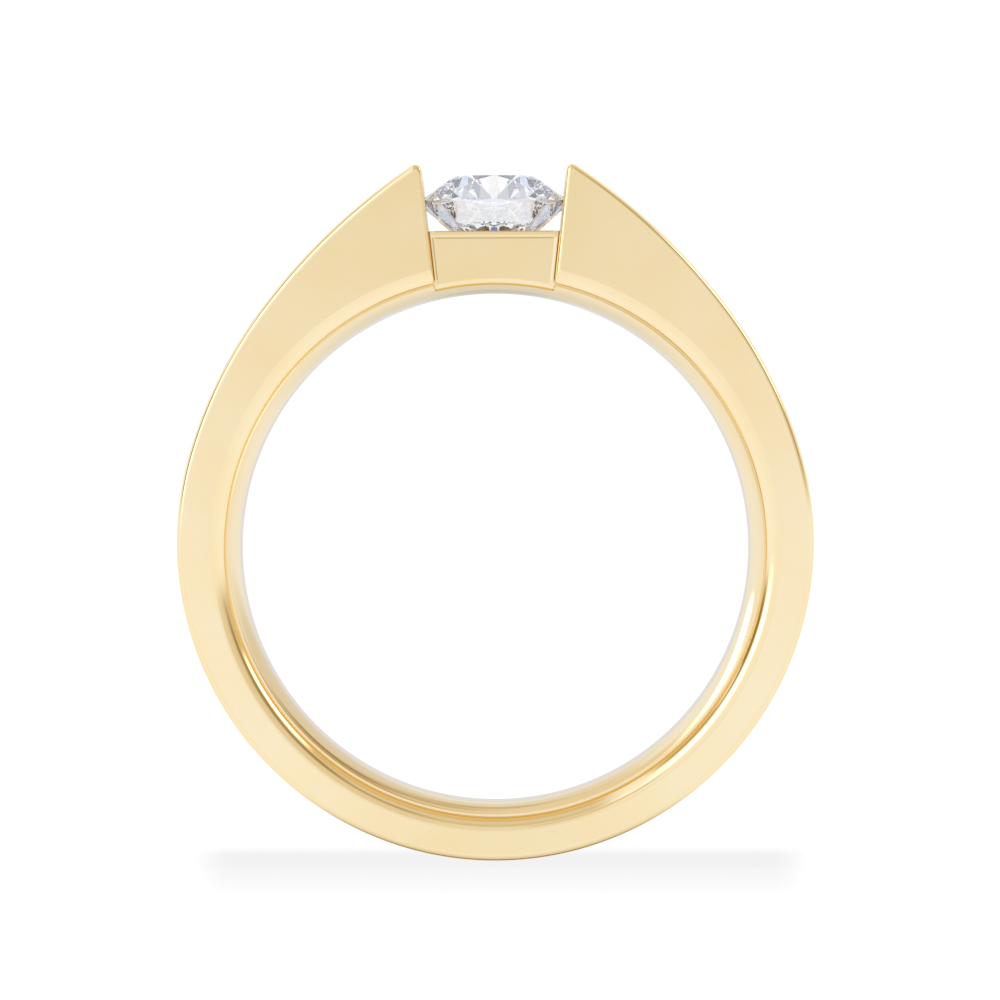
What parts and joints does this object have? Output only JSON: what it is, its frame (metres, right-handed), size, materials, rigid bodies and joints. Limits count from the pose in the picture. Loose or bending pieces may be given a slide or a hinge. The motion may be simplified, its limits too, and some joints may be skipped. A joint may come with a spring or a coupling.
{
  "type": "solitaire engagement ring",
  "caption": "Gold solitaire ring: two pointed shoulders hold a round brilliant by its girdle in an open channel, over a small bridge.",
  "frame": {"origin": "centre of the finger hole, in the middle of the band's width", "axes": "+Z along the finger hole, +Y from its centre to the stone; the ring rests on its side, on the face at -Z"},
  "size_m": [0.0212, 0.0232, 0.0054],
  "materials": {
    "yellow_gold": "polished",
    "diamond": "cut and polished"
  },
  "bodies": {
    "root": {"ring_shank": "yellow_gold", "stone": "diamond"}
  },
  "joints": []
}
